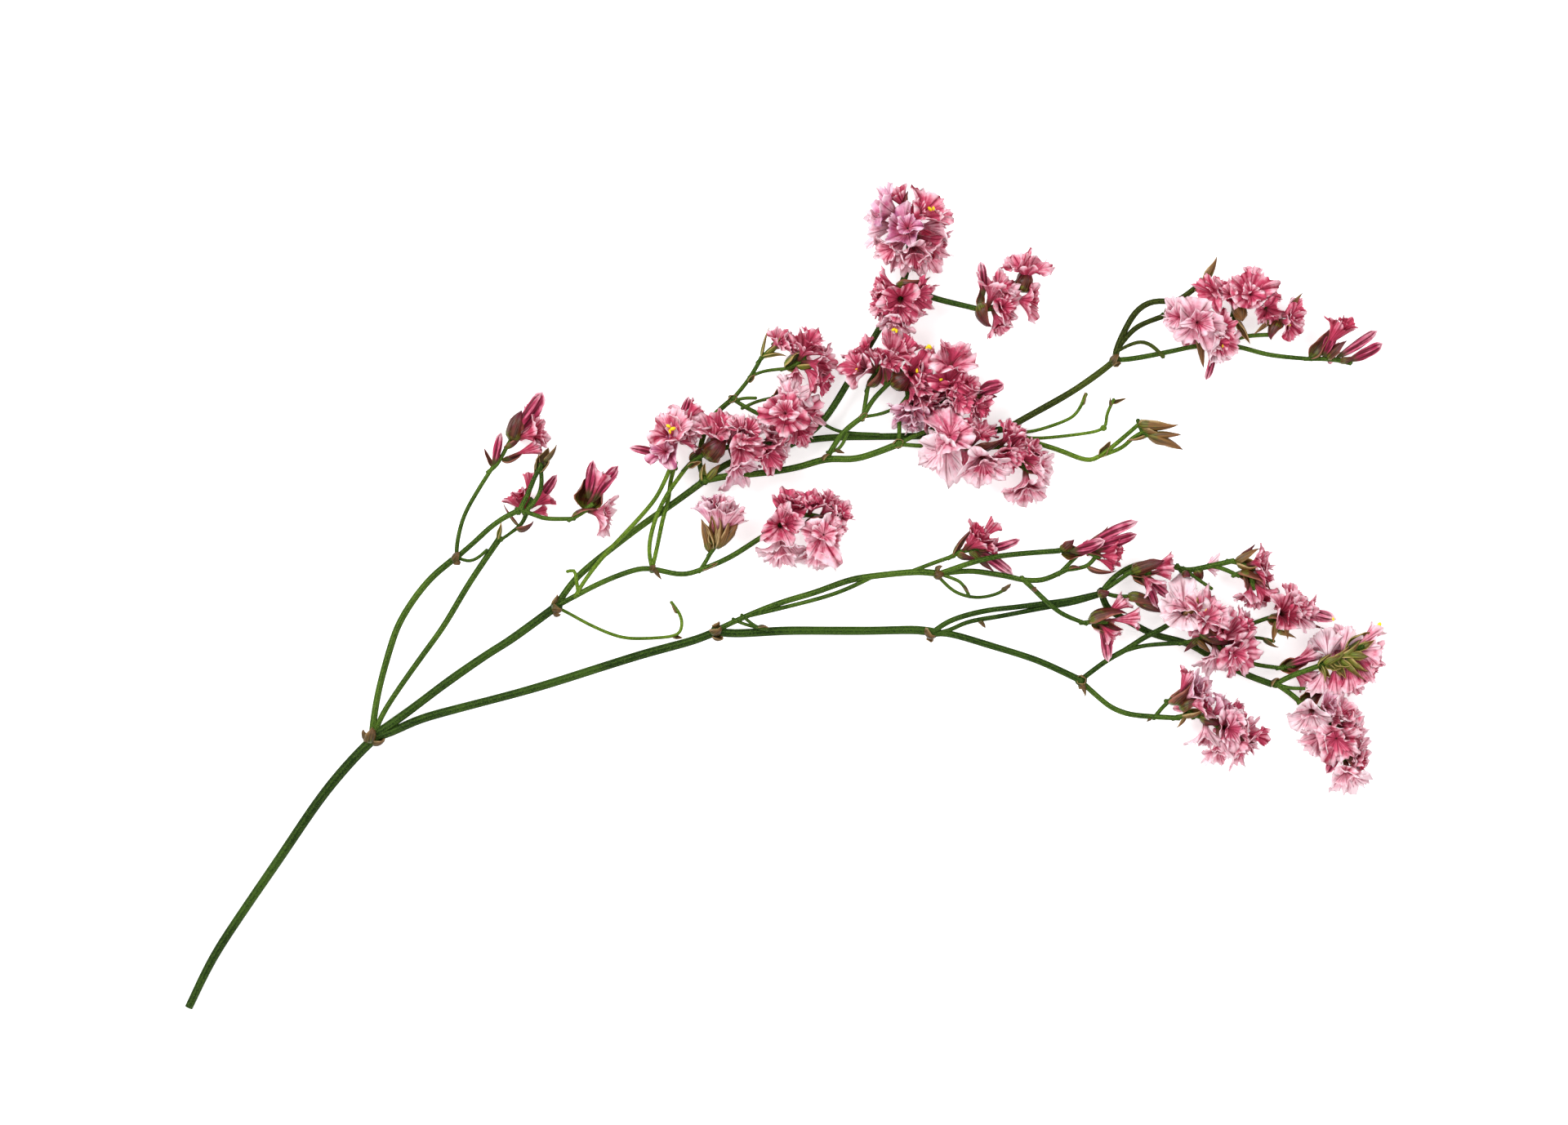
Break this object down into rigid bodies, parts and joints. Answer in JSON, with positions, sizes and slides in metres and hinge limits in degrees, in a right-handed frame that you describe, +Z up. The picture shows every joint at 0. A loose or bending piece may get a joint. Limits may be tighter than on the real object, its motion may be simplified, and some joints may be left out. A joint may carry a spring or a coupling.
{
  "type": "statice flowering stem",
  "caption": "Cut flowering stem that lies down: a green stem forks into thinner branches that end in one-sided spikes of papery pink funnel flowers.",
  "frame": {"origin": "middle of the spray's outline, on the table it lies on", "axes": "+X from the cut end towards the flowers along the spray's length, +Y across the spray towards its upper branches, +Z up from the table"},
  "size_m": [0.265, 0.182, 0.0155],
  "materials": {
    "stem_dark": "dark green living stem, finely ribbed, matt",
    "stem_green": "green branch, finely ribbed and speckled, matt",
    "stem_pale": "yellow-green thin twig, matt",
    "petals_pink": "thin papery pink petal with darker veins, matt",
    "petals_pale": "thin papery pale pink petal, matt",
    "dry_brown": "dry brown papery scale, matt"
  },
  "bodies": {
    "root": {"main_stem": "stem_dark", "left_branch": "stem_green", "left_branch_twigs": "stem_green", "slender_branch": "stem_pale", "middle_branch": "stem_dark", "middle_low_branch": "stem_green", "middle_high_branch": "stem_green", "riser_twigs": "stem_pale", "front_twigs": "stem_pale", "trailing_twig": "stem_pale", "centre_low_branch": "stem_green", "centre_high_branch": "stem_dark", "centre_fork_twigs": "stem_green", "top_branch": "stem_dark", "upper_left_twigs": "stem_green", "right_branch": "stem_dark", "right_arc_twigs": "stem_dark", "right_low_twig": "stem_green", "right_thin_twigs": "stem_pale", "lower_branch": "stem_dark", "lower_high_branch": "stem_green", "lower_high_twigs": "stem_green", "lower_low_branch": "stem_dark", "lower_middle_branch": "stem_dark", "lower_far_branch": "stem_dark", "lower_right_twigs": "stem_green", "lower_diagonal_branch": "stem_dark", "lower_end_twigs": "stem_green", "lower_outer_twigs": "stem_green", "lowest_twigs": "stem_green", "lowest_rising_twigs": "stem_dark", "spike_left_top": "petals_pink", "spike_left_middle": "petals_pink", "spike_left_right": "petals_pink", "spike_upper_left": "petals_pink", "spike_upper_middle": "petals_pink", "spike_upper_star": "petals_pink", "spike_upper_tuft": "petals_pink", "spike_middle_bouquet": "petals_pink", "spike_middle_ring": "petals_pink", "spike_top": "petals_pink", "spike_top_low": "petals_pink", "spike_top_side": "petals_pink", "spike_centre_left": "petals_pink", "spike_centre_right": "petals_pink", "spike_centre_low": "petals_pale", "spike_right_large": "petals_pink", "spike_right_end": "petals_pink", "dry_buds": "dry_brown", "spike_low_first": "petals_pink", "spike_low_buds": "petals_pink", "spike_low_cross": "petals_pink", "spike_low_pair": "petals_pink", "spike_low_centre": "petals_pink", "spike_low_upper": "petals_pink", "spike_low_right": "petals_pink", "spike_low_end": "petals_pale", "spike_low_side": "petals_pink", "spike_lowest": "petals_pink", "spike_lowest_end": "petals_pale"}
  },
  "joints": []
}
